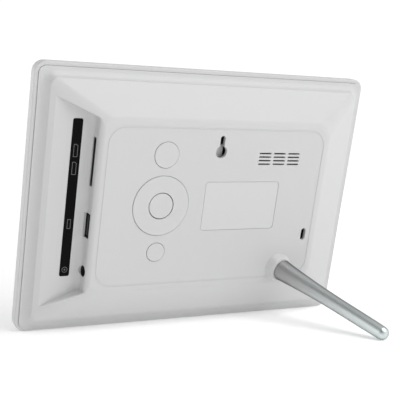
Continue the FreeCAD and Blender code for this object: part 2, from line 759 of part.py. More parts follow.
def build_ribbon():
    """Flat cable from the screen's lower edge, back through the chassis, up to its connector."""
    x0 = RIBBON_X - RIBBON_W / 2
    y_start = MODULE_Y1 - TRAY_BACK_T - RIBBON_LEAVES
    y_end = BOARD_Y0 - RIBBON_UNDER_BOARD
    z_end = RIBBON_Z + RIBBON_CLIMB
    z_module = -MODULE_H / 2
    t = RIBBON_T
    outline = [
        (y_start, z_module), (y_start, RIBBON_Z - t), (y_end + t, RIBBON_Z - t), (y_end + t, z_end),
        (y_end, z_end), (y_end, RIBBON_Z), (y_start + t, RIBBON_Z), (y_start + t, z_module),
    ]
    corners = [point(x0, y, z) for y, z in outline]
    keep("screen_ribbon", polygon_prism(corners, point(RIBBON_W, 0, 0)))
    keep("ribbon_connector", block(x0 - CONNECTOR_SIDE, x0 + RIBBON_W + CONNECTOR_SIDE,
                                   BOARD_Y0 - CONNECTOR_T, BOARD_Y0, z_end, z_end + CONNECTOR_H))


# ---------------------------------------------------------------- sockets at the port bay


def build_card_socket():
    """Memory card socket: moulded base with two rails, a stop and a lip that fills the
    opening in the wall, under a bent steel lid."""
    x1 = SOCKET_X
    x0 = x1 - SD_DEPTH
    y0 = BOARD_Y1
    y1 = BOARD_Y1 + SD_H
    rail_y1 = y1 - SD_SHELL_T
    z0 = SD_Z - SD_W / 2
    z1 = SD_Z + SD_W / 2
    lip_half = SD_SLOT / 2 - PORT_PLAY
    lip_up = SD_SLOT_H / 2 - PORT_PLAY
    lip = plate_along_x(SD_Y - lip_up, SD_Y + lip_up, SD_Z - lip_half, SD_Z + lip_half,
                        SLOT_CORNER_R - PORT_PLAY, x1, BAY_WALL_X - PORT_PLAY)
    mouth = block(x1 - PAST, BAY_WALL_X, SD_Y - SD_MOUTH_H / 2, SD_Y + SD_MOUTH_H / 2,
                  SD_Z - SD_MOUTH / 2, SD_Z + SD_MOUTH / 2)
    keep("sd_socket_base", fuse([
        lip.cut(mouth),
        block(x0, x1, y0, y0 + SD_BASE_T, z0, z1),
        block(x0, x0 + SD_BACK_W, y0, rail_y1, z0, z1),
        block(x0, x1, y0, rail_y1, z0, z0 + SD_RAIL_W),
        block(x0, x1, y0, rail_y1, z1 - SD_RAIL_W, z1),
    ]))
    keep("sd_socket_shell", fuse([
        block(x0, x1, rail_y1, y1, z0 - SD_SHELL_T, z1 + SD_SHELL_T),
        block(x0, x1, y0, y1, z0 - SD_SHELL_T, z0),
        block(x0, x1, y0, y1, z1, z1 + SD_SHELL_T),
    ]))
    contacts = []
    for i in range(SD_CONTACTS):
        z = SD_Z + (i - (SD_CONTACTS - 1) / 2) * SD_CONTACT_PITCH
        contacts.append(block(x0 + SD_BACK_W, x0 + SD_BACK_W + SD_CONTACT_L,
                              y0 + SD_BASE_T, y0 + SD_BASE_T + CONTACT_T,
                              z - SD_CONTACT_W / 2, z + SD_CONTACT_W / 2))
    keep("sd_contacts", *contacts)


def build_usb_socket():
    """Plug socket: steel tube, a moulded rear block with its tongue, and four contact strips."""
    x1 = USB_X
    x0 = x1 - USB_L
    y0 = PORT_Y - USB_H / 2
    y1 = PORT_Y + USB_H / 2
    z0 = USB_Z - USB_W / 2
    z1 = USB_Z + USB_W / 2
    t = USB_SHELL_T
    shell = plate_along_x(y0, y1, z0, z1, USB_SHELL_R, x0, x1)
    room = plate_along_x(y0 + t, y1 - t, z0 + t, z1 - t, USB_SHELL_R - t, x0 - PAST, x1 + PAST)
    keep("usb_shell", shell.cut(room))
    stop_x = x1 - USB_PLUG_DEPTH
    tongue_x = x1 - USB_TONGUE_BACK
    tongue_y0 = y0 + t + USB_TONGUE_UP
    tongue_y1 = tongue_y0 + USB_TONGUE_T
    rear = block(x0, stop_x, y0 + t, y1 - t, z0 + 2 * t, z1 - 2 * t)
    tongue = block(stop_x, tongue_x, tongue_y0, tongue_y1,
                   USB_Z - USB_TONGUE_W / 2, USB_Z + USB_TONGUE_W / 2)
    keep("usb_tongue", fuse([rear, tongue]))
    strips = []
    for offset in USB_CONTACT_AT:
        z = USB_Z + offset
        strips.append(block(stop_x, tongue_x - USB_TONGUE_UP, tongue_y1, tongue_y1 + USB_CONTACT_T,
                            z - SD_CONTACT_W / 2, z + SD_CONTACT_W / 2))
    keep("usb_contacts", *strips)


def build_power_jack():
    """Round power socket: a moulded block with a bored nose that fills the hole in the wall,
    and its centre pin."""
    x0 = SOCKET_X - JACK_L
    bore_at = point(SOCKET_X - JACK_BORE_L, PORT_Y, JACK_Z)
    body = block(x0, SOCKET_X, PORT_Y - JACK_H / 2, PORT_Y + JACK_H / 2,
                 JACK_Z - JACK_W / 2, JACK_Z + JACK_W / 2)
    nose = Part.makeCylinder(JACK_R - PORT_PLAY, BAY_WALL_X - PORT_PLAY - SOCKET_X,
                             point(SOCKET_X, PORT_Y, JACK_Z), SIDEWAYS)
    bore = Part.makeCylinder(JACK_BORE_R, JACK_BORE_L + 2 * PAST, bore_at, SIDEWAYS)
    keep("dc_jack_body", body.fuse(nose).cut(bore))
    keep("dc_jack_pin", Part.makeCylinder(JACK_PIN_R, JACK_BORE_L - JACK_PIN_BACK, bore_at, SIDEWAYS))


# ---------------------------------------------------------------- switches and buttons


def pad_switch_places():
    at = PAD_SWITCH_AT
    return [(BUTTON_X + dx, PAD_Z + dz) for dx, dz in ((0, at), (0, -at), (-at, 0), (at, 0))]


def key_switch_places():
    return {"menu": (BUTTON_X, MENU_Z), "ok": (BUTTON_X, PAD_Z), "power": (BUTTON_X, POWER_Z)}


def push_switch(x, z, width):
    """A low square switch, open over its stem."""
    body = centred_plate(width, width, SWITCH_CORNER_R, BOARD_Y1, BOARD_Y1 + SWITCH_H, x, z)
    well = disc(x, z, STEM_R + STEM_PLAY, BOARD_Y1 + SWITCH_FLOOR, BOARD_Y1 + SWITCH_H + PAST)
    return body.cut(well)


def switch_stem(x, z):
    return disc(x, z, STEM_R, BOARD_Y1 + SWITCH_H - STEM_SUNK, STEM_TOP_Y)


def build_switches():
    keys = key_switch_places()
    bodies = [push_switch(x, z, SWITCH_W) for x, z in keys.values()]
    bodies += [push_switch(x, z, SMALL_SWITCH_W) for x, z in pad_switch_places()]
    keep("push_switches", *bodies)
    for name, (x, z) in keys.items():
        keep(name + "_switch_stem", switch_stem(x, z))
    keep("pad_switch_stems", *[switch_stem(x, z) for x, z in pad_switch_places()])


def round_cap(z, radius, y0):
    """A button's cap, its rim softened, flush with the panel."""
    cap = disc(BUTTON_X, z, radius - BUTTON_GAP, y0, CAP_TOP_Y)
    return cap.makeFillet(BUTTON_EDGE_R, edges_at_depth(cap, CAP_TOP_Y))


def round_button(z, radius):
    """A cap that fills its hole, a flange that keeps it in, and a post down to its switch."""
    flange_y1 = INNER_Y - BUTTON_SLACK
    flange_y0 = flange_y1 - FLANGE_T
    flange = disc(BUTTON_X, z, radius + FLANGE_LAP, flange_y0, flange_y1)
    post = disc(BUTTON_X, z, STEM_R + POST_WIDER, STEM_TOP_Y, flange_y0)
    return fuse([round_cap(z, radius, flange_y0), flange, post])


def build_buttons():
    keep("menu_button", round_button(MENU_Z, MENU_R))
    keep("power_button", round_button(POWER_Z, POWER_R))
    flange_y1 = PAD_FLANGE_Y0 - OK_DROP
    flange = disc(BUTTON_X, PAD_Z, OK_R + FLANGE_LAP, STEM_TOP_Y, flange_y1)
    keep("ok_button", fuse([round_cap(PAD_Z, OK_R, flange_y1), flange]))


def build_pad():
    """Ring of four directions, rocking on a gimbal under its rim."""
    under = PAD_FLANGE_Y0
    ring = round_cap(PAD_Z, PAD_R, under)
    flange = disc(BUTTON_X, PAD_Z, PAD_R + FLANGE_LAP, under, PAD_FLANGE_Y1)
    hole = disc(BUTTON_X, PAD_Z, OK_R + BUTTON_GAP, under - PAST, CAP_TOP_Y + PAST)
    ring = ring.fuse(flange).cut(hole)
    ear_r = GIMBAL_R_IN - GIMBAL_PLAY
    feet = []
    for side in BOTH_SIDES:
        z = PAD_Z + side * ear_r
        feet.append(block(BUTTON_X - EAR_W / 2, BUTTON_X + EAR_W / 2,
                          GIMBAL_Y - PIVOT_R - PAD_EAR_BELOW, under, z - side * EAR_T, z))
    for x, z in pad_switch_places():
        feet.append(disc(x, z, STEM_R, STEM_TOP_Y + BUTTON_TRAVEL + PAD_SLACK, under))
    bore_half = GIMBAL_R_IN + PAST
    bore = Part.makeCylinder(PIVOT_R + PIVOT_PLAY, 2 * bore_half,
                             point(BUTTON_X, GIMBAL_Y, PAD_Z - bore_half), UP)
    inside = disc(BUTTON_X, PAD_Z, ear_r - EAR_T - ROUND_END, STEM_TOP_Y, CAP_TOP_Y)
    keep("dpad_ring", fuse([ring] + feet).cut(bore.cut(inside)))


def build_gimbal():
    """Ring between pad and cover: two pins in towards the pad, two out to the cover's ears."""
    y0 = GIMBAL_Y - GIMBAL_T / 2
    y1 = GIMBAL_Y + GIMBAL_T / 2
    ring = disc(BUTTON_X, PAD_Z, GIMBAL_R_OUT, y0, y1)
    ring = ring.cut(disc(BUTTON_X, PAD_Z, GIMBAL_R_IN, y0 - PAST, y1 + PAST))
    root = GIMBAL_PIN_ROOT
    out_l = CRADLE_R + EAR_T - GIMBAL_R_OUT + root
    in_l = GIMBAL_PLAY + EAR_T + root - ROUND_END
    pins = []
    for side in BOTH_SIDES:
        inner_at = point(BUTTON_X, GIMBAL_Y, PAD_Z + side * (GIMBAL_R_IN + root))
        outer_at = point(BUTTON_X + side * (GIMBAL_R_OUT - root), GIMBAL_Y, PAD_Z)
        pins.append(Part.makeCylinder(PIVOT_R, in_l, inner_at, UP * -side))
        pins.append(Part.makeCylinder(PIVOT_R, out_l, outer_at, SIDEWAYS * side))
    keep("dpad_gimbal", fuse([ring] + pins))


# ---------------------------------------------------------------- leg and its seat


def leg_axis():
    """Unit vector from the boss out to the leg's foot."""
    side = math.tan(math.radians(LEG_SPLAY_SIDE))
    down = math.tan(math.radians(LEG_SPLAY_DOWN))
    return point(-side, 1, -down).normalize()


def boss_face_centre():
    return point(LEG_X, PANEL_Y + BOSS_FACE_UP, LEG_Z)


def along_leg(distance):
    return boss_face_centre() + leg_axis() * distance


def bar_on_leg(radius, start, end):
    """A round bar on the leg's axis, measured from the boss's face."""
    return Part.makeCylinder(radius, end - start, along_leg(start), leg_axis())


def turned(half_outline):
    """Turns a half outline, drawn with X as radius and Z as distance, on the leg's axis."""
    solid = Part.Face(Part.Wire(half_outline)).revolve(point(0, 0, 0), UP, 360)
    solid.Placement = FreeCAD.Placement(along_leg(0), FreeCAD.Rotation(UP, leg_axis()))
    return solid


def build_stand_leg():
    """Tapering turned leg: a trumpet root, a slim shaft and a round foot."""
    root = LEG_GAP
    reach = LEG_REACH
    side = Part.BSplineCurve()
    side.interpolate([
        point(LEG_ROOT_R, 0, root + LEG_CHAMFER),
        point(LEG_NECK_R, 0, root + reach * LEG_NECK_AT),
        point(LEG_WAIST_R, 0, root + reach * LEG_WAIST_AT),
        point((LEG_WAIST_R + LEG_TIP_R) / 2, 0, root + reach * LEG_SHANK_AT),
        point(LEG_TIP_R, 0, reach),
    ])
    half = LEG_TIP_R * math.sqrt(0.5)
    toe = point(0, 0, reach + LEG_TIP_R)
    foot = Part.Arc(point(LEG_TIP_R, 0, reach), point(half, 0, reach + half), toe)
    bore_r = STUD_R + STUD_PLAY
    bore_end = root + STUD_IN_LEG
    corners = [
        toe, point(0, 0, bore_end), point(bore_r, 0, bore_end), point(bore_r, 0, root),
        point(LEG_ROOT_R - LEG_CHAMFER_IN, 0, root), point(LEG_ROOT_R, 0, root + LEG_CHAMFER),
    ]
    straight = [Part.makeLine(a, b) for a, b in zip(corners, corners[1:])]
    return turned([side.toShape(), foot.toShape()] + straight)


def build_leg_parts():
    insert_end = -INSERT_SUNK - INSERT_L
    keep("stand_leg", build_stand_leg())
    keep("leg_stud", bar_on_leg(STUD_R, -STUD_IN_INSERT, LEG_GAP + STUD_IN_LEG - STUD_END_GAP))
    insert = bar_on_leg(INSERT_R, insert_end, -INSERT_SUNK)
    keep("leg_insert", insert.cut(bar_on_leg(STUD_R + STUD_PLAY, insert_end + INSERT_FLOOR, PAST)))


def is_face_edge(edge):
    """True for the circle round the boss's face."""
    near = edge.BoundBox.Center.distanceToPoint(boss_face_centre()) < INSERT_SUNK
    return near and edge.Length > 2 * BOSS_FACE_R


def leg_boss():
    """Seat of the leg: a flaring boss outside, and the tube that holds the brass insert."""
    cone = Part.makeCone(BOSS_FOOT_R, BOSS_FACE_R, BOSS_FOOT_DEPTH,
                         along_leg(-BOSS_FOOT_DEPTH), leg_axis())
    cone = cone.makeFillet(BOSS_FACE_EDGE_R, [e for e in cone.Edges if is_face_edge(e)])
    return [cone, bar_on_leg(BOSS_TUBE_R, -INSERT_L - BOSS_TUBE_FLOOR, PAST - BOSS_FOOT_DEPTH)]


# ---------------------------------------------------------------- rear cover


def rim_sweep(section, half_w, half_h, radius):
    """Carries a section round a rectangle with round corners.

    The section's points are (distance outward from the rectangle, depth).
    """
    parts = []
    for k, (length, offset) in enumerate(((half_h, half_w), (half_w, half_h)) * 2):
        run = length - radius
        side = [point(offset + out, depth, -run) for out, depth in section]
        straight = polygon_prism(side, point(0, 0, 2 * run))
        straight.rotate(point(0, 0, 0), REAR, 90 * k)
        parts.append(straight)
    for sx, sz, start in ((1, 1, 0), (1, -1, 90), (-1, -1, 180), (-1, 1, 270)):
        face_points = [point(radius + out, depth, 0) for out, depth in section]
        corner = Part.Face(Part.makePolygon(face_points + face_points[:1]))
        corner = corner.revolve(point(0, 0, 0), REAR, -90)
        corner.rotate(point(0, 0, 0), REAR, start)
        corner.translate(point(sx * (half_w - radius), 0, sz * (half_h - radius)))
        parts.append(corner)
    return parts


def cove_section():
    """Hollow curve from the flange up to the step's edge, as a cutter."""
    rise = STEP_H - FLANGE_ABOVE
    radius = (COVE_W ** 2 + rise ** 2) / (2 * rise)
    sweep = math.asin(COVE_W / radius)
    arc = []
    for i in range(COVE_FACETS + 1):
        a = sweep * (1 - i / COVE_FACETS)
        arc.append((COVE_W - radius * math.sin(a), FLANGE_ABOVE + radius * (1 - math.cos(a))))
    beyond = 2 * COVE_W
    return arc + [(beyond, FLANGE_ABOVE), (beyond, STEP_H + PAST), (0, STEP_H + PAST)]


def bay_cutter(grow, edge_r=0):
    """The port bay's hollow, or the same grown by a wall for the inside of the cover.

    With an edge_r, it also rounds over the long edge between the wall and the panel.
    """
    wall_x = BAY_WALL_X - grow
    floor_y = BAY_FLOOR_Y - grow
    foot = BAY_FOOT_R + grow
    far_x = FACE_W
    top_y = 2 * PANEL_Y
    k = foot * (1 - math.sqrt(0.5))
    turn = Part.Arc(point(wall_x + foot, floor_y, 0), point(wall_x + k, floor_y + k, 0),
                    point(wall_x, floor_y + foot, 0))
    edge_x = wall_x - edge_r
    sides = [
        Part.makeLine(point(far_x, floor_y, 0), point(wall_x + foot, floor_y, 0)),
        turn.toShape(),
        Part.makeLine(point(wall_x, floor_y + foot, 0), point(wall_x, PANEL_Y - edge_r, 0)),
        Part.makeLine(point(edge_x, PANEL_Y, 0), point(edge_x, top_y, 0)),
        Part.makeLine(point(edge_x, top_y, 0), point(far_x, top_y, 0)),
        Part.makeLine(point(far_x, top_y, 0), point(far_x, floor_y, 0)),
    ]
    if edge_r:
        j = edge_r * (1 - math.sqrt(0.5))
        over = Part.Arc(point(wall_x, PANEL_Y - edge_r, 0), point(wall_x - j, PANEL_Y - j, 0),
                        point(edge_x, PANEL_Y, 0))
        sides.insert(3, over.toShape())
    section = Part.Wire(sides)
    channel = Part.Face(section).extrude(point(0, 0, 2 * FACE_H))
    channel.translate(point(0, 0, -FACE_H))
    slope = BAY_FLARE / BAY_REACH
    inner = BAY_HALF_IN + grow * math.sqrt(1 + slope ** 2)
    outer = inner + slope * (far_x - wall_x)
    near_x = edge_x - (0 if edge_r else PAST)
    plan = [point(near_x, 0, -inner), point(far_x, 0, -outer), point(far_x, 0, outer),
            point(near_x, 0, inner)]
    wedge = polygon_prism(plan, point(0, top_y, 0))
    upright = [e for e in wedge.Edges
               if e.BoundBox.XMax < wall_x and e.BoundBox.YLength > top_y / 2]
    return channel.common(wedge.makeFillet(BAY_CORNER_R, upright))


def pyramid(inset, y0, y1, top_inset):
    """Four slopes from the step up to the plateau."""
    step_x = STEP_X - inset
    step_z = STEP_Z - inset
    top_z = PLATEAU_Z - top_inset
    return Part.makeLoft([
        rounded_wire(-step_x, step_x, -step_z, step_z, STEP_CORNER_R, y0),
        rounded_wire(PLATEAU_LEG_X + top_inset, PLATEAU_PORT_X - top_inset, -top_z, top_z,
                     PLATEAU_CORNER_R, y1),
    ], True, True)


def cover_outside():
    slab = centred_plate(COVER_W, COVER_H, COVER_CORNER_R, -FLANGE_BELOW, STEP_H)
    slab = slab.cut(rim_sweep(cove_section(), STEP_X, STEP_Z, STEP_CORNER_R))
    body = slab.fuse(pyramid(0, STEP_H, PANEL_Y, 0)).removeSplitter()
    body = body.makeFillet(STEP_EDGE_R, edges_at_depth(body, STEP_H))
    return body.makeFillet(RIDGE_R, edges_at_depth(body, PANEL_Y))


def cover_inside():
    room = plate(-INNER_X, INNER_X, -INNER_Z, INNER_Z, STEP_CORNER_R, -BEZEL_DEPTH, INNER_STEP_Y)
    return room.fuse(pyramid(WALL, INNER_STEP_Y, INNER_Y, PLATEAU_THICKER))


def skirt_and_snaps():
    """Wall that plugs into the bezel, with the tabs that catch it, and the room within it."""
    in_x = SKIRT_X - SKIRT_T
    in_z = SKIRT_Z - SKIRT_T
    in_r = COVER_CORNER_R - SKIRT_T
    skirt = plate(-SKIRT_X, SKIRT_X, -SKIRT_Z, SKIRT_Z, COVER_CORNER_R - SKIRT_GAP, SKIRT_Y,
                  -FLANGE_BELOW + MELT)
    hollow = plate(-in_x, in_x, -in_z, in_z, in_r, SKIRT_Y - PAST, -FLANGE_BELOW + 2 * MELT)
    tabs = [snap_block(x, z, along_x, SNAP_OUT, 0) for x, z, along_x in snap_places()]
    return [shape.cut(hollow) for shape in [skirt] + tabs], hollow


def keyhole_cut(y0, y1):
    entry = disc(KEYHOLE_X, KEYHOLE_Z, KEYHOLE_ENTRY_R, y0, y1)
    slot = plate(KEYHOLE_X - KEYHOLE_SLOT_R, KEYHOLE_X + KEYHOLE_SLOT_R, KEYHOLE_Z,
                 KEYHOLE_Z + KEYHOLE_RISE + KEYHOLE_SLOT_R, KEYHOLE_SLOT_R - ROUND_END, y0, y1)
    return entry.fuse(slot)


def keyhole_pocket():
    """Catch behind the keyhole and the room in it for a nail's head.

    It is closed behind the entry, and open above the entry and on the side of the leg.
    """
    half = KEYHOLE_ENTRY_R + KEYHOLE_SIDE
    z0 = KEYHOLE_Z - half
    z1 = KEYHOLE_Z + KEYHOLE_RISE + KEYHOLE_SLOT_R + KEYHOLE_ABOVE
    back = INNER_Y - KEYHOLE_DEPTH
    w = KEYHOLE_WALL
    shell = block(KEYHOLE_X - half - w, KEYHOLE_X + half + w, back - w, INNER_Y + MELT,
                  z0 - w, z1 + w)
    room = plate(KEYHOLE_X - half, KEYHOLE_X + half, z0, z1, KEYHOLE_POCKET_R, back, INNER_Y)
    above = block(KEYHOLE_X - half, KEYHOLE_X + half, back - w - PAST, back + PAST,
                  KEYHOLE_Z + KEYHOLE_ENTRY_R, z1 - KEYHOLE_POCKET_R)
    beside = block(KEYHOLE_X - half - w - PAST, KEYHOLE_X - half + PAST, back - w - PAST, INNER_Y,
                   z0 + KEYHOLE_POCKET_R, z1 - KEYHOLE_POCKET_R)
    return shell, room.fuse([above, beside])


def grille_slits(y0, y1):
    slits = []
    for column in range(SLIT_COLUMNS):
        x = SPEAKER_X + (column - (SLIT_COLUMNS - 1) / 2) * SLIT_PITCH_X
        for row in range(SLIT_ROWS):
            z = SPEAKER_Z + (row - (SLIT_ROWS - 1) / 2) * SLIT_PITCH_Z
            slits.append(centred_plate(SLIT_L, SLIT_H, SLIT_H / 2 - ROUND_END, y0, y1, x, z))
    return slits


def lock_slot(y0, y1, grow=0):
    return centred_plate(LOCK_W + 2 * grow, LOCK_L + 2 * grow, LOCK_W / 2 - ROUND_END + grow,
                         y0, y1, LOCK_X, LOCK_Z)


def lock_posts():
    reach = LOCK_L / 2 + LOCK_POST_FROM_SLOT
    return [(LOCK_X, LOCK_Z + side * reach) for side in BOTH_SIDES]


def gimbal_ears():
    """Two ears under the panel that carry the gimbal's outer pins."""
    ears = []
    for side in BOTH_SIDES:
        x = BUTTON_X + side * CRADLE_R
        ears.append(block(x, x + side * EAR_T, GIMBAL_Y - PIVOT_R - COVER_EAR_BELOW,
                          INNER_Y + MELT, PAD_Z - EAR_W / 2, PAD_Z + EAR_W / 2))
    return ears


def gimbal_bore():
    reach = CRADLE_R + EAR_T + GIMBAL_CRADLE_GAP
    return Part.makeCylinder(PIVOT_R + PIVOT_PLAY, 2 * reach,
                             point(BUTTON_X - reach, GIMBAL_Y, PAD_Z), SIDEWAYS)


def speaker_collar():
    """Ring under the panel that the loudspeaker sits in."""
    y0 = INNER_Y - SPEAKER_RIM_T - CLOTH_T - COLLAR_DOWN
    collar = disc(SPEAKER_X, SPEAKER_Z, SPEAKER_R + SEAT_PLAY + COLLAR_T, y0, INNER_Y + MELT)
    return collar.cut(disc(SPEAKER_X, SPEAKER_Z, SPEAKER_R + SEAT_PLAY, y0 - PAST, INNER_Y))


def port_holes():
    """Openings through the bay's wall for the card, the plug and the power lead.

    The card socket and the power jack stand in pockets cut into the wall from inside.
    """
    x0 = BAY_WALL_X - WALL - PAST
    x1 = BAY_WALL_X + BAY_FOOT_R
    holes = []
    for width, height, y, z in ((SD_SLOT, SD_SLOT_H, SD_Y, SD_Z),
                                (USB_SLOT, USB_SLOT_H, PORT_Y, USB_Z)):
        holes.append(plate_along_x(y - height / 2, y + height / 2,
                                   z - width / 2, z + width / 2, SLOT_CORNER_R, x0, x1))
    holes.append(Part.makeCylinder(JACK_R, x1 - x0, point(x0, PORT_Y, JACK_Z), SIDEWAYS))
    seat_x = BAY_WALL_X - PORT_SKIN
    card_half = SD_W / 2 + SD_SHELL_T + SEAT_PLAY
    jack_half = JACK_W / 2 + SEAT_PLAY
    holes.append(block(x0, seat_x, BOARD_Y1 - SEAT_PLAY, BOARD_Y1 + SD_H + SEAT_PLAY,
                       SD_Z - card_half, SD_Z + card_half))
    holes.append(block(x0, seat_x, PORT_Y - JACK_H / 2 - SEAT_PLAY, INNER_Y,
                       JACK_Z - jack_half, JACK_Z + jack_half))
    return holes


def panel_groove():
    """Fine line round the raised panel, stopping at the leg's boss."""
    radius = PANEL_CORNER_R
    w = GROOVE_W
    outer = plate(PANEL_LEG_X, PANEL_PORT_X, -PANEL_Z, PANEL_Z, radius,
                  PANEL_Y - GROOVE_DEPTH, PANEL_Y + PAST)
    inner = plate(PANEL_LEG_X + w, PANEL_PORT_X - w, w - PANEL_Z, PANEL_Z - w, radius - w,
                  PANEL_Y - PAST, PANEL_Y + 2 * PAST)
    boss_room = bar_on_leg(BOSS_FOOT_R, -BOSS_FOOT_R, BOSS_FACE_R)
    return outer.cut([inner, boss_room])


def bay_rim(solid):
    """Edges where the bay's two side walls come up through the slopes."""
    bay = bay_cutter(0, BAY_EDGE_R)
    skin = cover_outside()
    rim = []
    for edge in solid.Edges:
        middle = Part.Vertex(edge.valueAt((edge.FirstParameter + edge.LastParameter) / 2))
        on_bay = min(face.distToShape(middle)[0] for face in bay.Faces) < ROUND_END
        on_skin = min(face.distToShape(middle)[0] for face in skin.Faces) < ROUND_END
        at_side = middle.X > BAY_WALL_X and middle.Y > BAY_FLOOR_Y + BAY_FOOT_R / 2
        if at_side and on_bay and on_skin:
            rim.append(edge)
    return rim


def build_rear_cover():
    solid = cover_outside().cut(bay_cutter(0, BAY_EDGE_R))
    solid = solid.makeFillet(BAY_SIDE_R, bay_rim(solid))
    solid = solid.cut(cover_inside().cut(bay_cutter(WALL)))
    solid = solid.fuse(leg_boss())
    plugs, hollow = skirt_and_snaps()
    solid = solid.fuse(plugs).cut(hollow)

    pocket, pocket_room = keyhole_pocket()
    posts = [disc(x, z, LOCK_POST_R, INNER_Y - LOCK_PLATE_T - LOCK_POST_PROUD, INNER_Y + MELT)
             for x, z in lock_posts()]
    solid = solid.fuse([pocket, speaker_collar()] + gimbal_ears() + posts)

    y0 = INNER_Y - PAST
    y1 = PANEL_Y + PAST
    cuts = [pocket_room, keyhole_cut(y0, y1), lock_slot(y0, y1), gimbal_bore()]
    cuts += grille_slits(y0, y1) + port_holes()
    cuts += [disc(BUTTON_X, z, radius, y0, y1)
             for z, radius in ((MENU_Z, MENU_R), (POWER_Z, POWER_R), (PAD_Z, PAD_R))]
    cuts.append(centred_plate(STRIP_W, STRIP_L, STRIP_R, BAY_FLOOR_Y - STRIP_RECESS,
                              BAY_FLOOR_Y + PAST, STRIP_X, STRIP_Z))
    cuts.append(centred_plate(LABEL_W, LABEL_H, LABEL_R, PANEL_Y - LABEL_RECESS,
                              PANEL_Y + PAST, LABEL_X, 0))
    cuts.append(bar_on_leg(INSERT_R, -INSERT_SUNK - INSERT_L, PAST))
    return solid.cut(cuts).cut(panel_groove()).removeSplitter()


# ---------------------------------------------------------------- fittings on the cover


def build_cover_fittings():
    lock_y0 = INNER_Y - LOCK_PLATE_T
    lock_body = centred_plate(LOCK_PLATE_W, LOCK_L + LOCK_PLATE_LONGER, LOCK_PLATE_R,
                              lock_y0, INNER_Y, LOCK_X, LOCK_Z)
    cuts = [lock_slot(lock_y0 - PAST, INNER_Y + PAST, LOCK_PLATE_PLAY)]
    cuts += [disc(x, z, LOCK_POST_R, lock_y0 - PAST, INNER_Y + PAST) for x, z in lock_posts()]
    keep("lock_plate", lock_body.cut(cuts))
    strip_y = BAY_FLOOR_Y - STRIP_RECESS
    keep("port_label", centred_plate(STRIP_W - 2 * STRIP_PLAY, STRIP_L - 2 * STRIP_PLAY, STRIP_R,
                                     strip_y, strip_y + STRIP_T, STRIP_X, STRIP_Z))
    label_y = PANEL_Y - LABEL_RECESS
    keep("rating_label", centred_plate(LABEL_W - 2 * LABEL_GAP, LABEL_H - 2 * LABEL_GAP,
                                       LABEL_R - LABEL_GAP, label_y, label_y + LABEL_T, LABEL_X, 0))


def speaker_cone(foot_r, top_r, rise, y):
    return Part.makeCone(foot_r, top_r, rise, point(SPEAKER_X, y, SPEAKER_Z), REAR)


def build_speaker():
    """Small loudspeaker facing the slits: cloth, steel basket, paper cone and magnet."""
    cloth_y = INNER_Y - CLOTH_T
    rim_y = cloth_y - SPEAKER_RIM_T
    back_y = INNER_Y - SPEAKER_T
    foot_y = back_y + MAGNET_T - MAGNET_PROUD
    metal = SPEAKER_METAL
    keep("grille_cloth", disc(SPEAKER_X, SPEAKER_Z, SPEAKER_R, cloth_y, INNER_Y))

    foot_r = MAGNET_R + BASKET_FOOT
    shoulder_r = SPEAKER_R - BASKET_SHOULDER
    rim = disc(SPEAKER_X, SPEAKER_Z, SPEAKER_R, rim_y, cloth_y)
    cup = speaker_cone(foot_r, shoulder_r, rim_y - foot_y, foot_y)
    room = speaker_cone(foot_r - metal, shoulder_r - metal, rim_y - foot_y, foot_y + metal)
    mouth = disc(SPEAKER_X, SPEAKER_Z, shoulder_r - metal, rim_y, cloth_y + PAST)
    keep("speaker_basket", fuse([rim, cup]).cut([room, mouth]))

    rim_r = SPEAKER_R - CONE_INSIDE_RIM
    cone_y = rim_y - CONE_DOWN
    outer = speaker_cone(CONE_R, rim_r, CONE_RISE, cone_y)
    inner = speaker_cone(CONE_R - CONE_T, rim_r - CONE_T, CONE_RISE, cone_y + CONE_T)
    keep("speaker_cone", outer.cut(inner))
    keep("speaker_magnet", disc(SPEAKER_X, SPEAKER_Z, MAGNET_R, back_y - MAGNET_PROUD, foot_y))


# ---------------------------------------------------------------- leaning and placing


def lean_angle():
    """Lean at which the bezel's rear lower edge and the leg's round foot are level."""
    foot = along_leg(LEG_REACH)
    rise = foot.z + FACE_H / 2 - REAR_EDGE_R
    reach = foot.y + REAR_EDGE_R
    span = math.hypot(rise, reach)
    return math.degrees(math.acos((LEG_TIP_R - REAR_EDGE_R) / span) - math.atan2(reach, rise))


def place_and_export():
    lean = lean_angle()
    box = FreeCAD.BoundBox()
    for shape in pieces.values():
        shape.rotate(point(0, 0, 0), SIDEWAYS, -lean)
        box.add(shape.optimalBoundingBox(False))
    shift = point(-(box.XMin + box.XMax) / 2, -(box.YMin + box.YMax) / 2, -box.ZMin)
    os.makedirs("parts", exist_ok=True)
    for name, shape in pieces.items():
        shape.translate(shift)
        shape.exportStep("parts/" + name + ".step")
    print("lean", round(lean, 4), "shift", [round(v, 4) for v in shift])
    print("size", [round(v, 2) for v in (box.XLength, box.YLength, box.ZLength)])


def main():
    keep("front_bezel", build_front_bezel())
    keep("screen_window", build_screen_window())
    build_screen_module()
    build_chassis()
    build_main_board()
    build_board_parts()
    build_ribbon()
    build_card_socket()
    build_usb_socket()
    build_power_jack()
    build_switches()
    build_buttons()
    build_pad()
    build_gimbal()
    build_leg_parts()
    keep("rear_cover", build_rear_cover())
    build_cover_fittings()
    build_speaker()
    place_and_export()


main()
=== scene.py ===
import math
import json
import bmesh
import bpy
from mathutils import Matrix, Vector


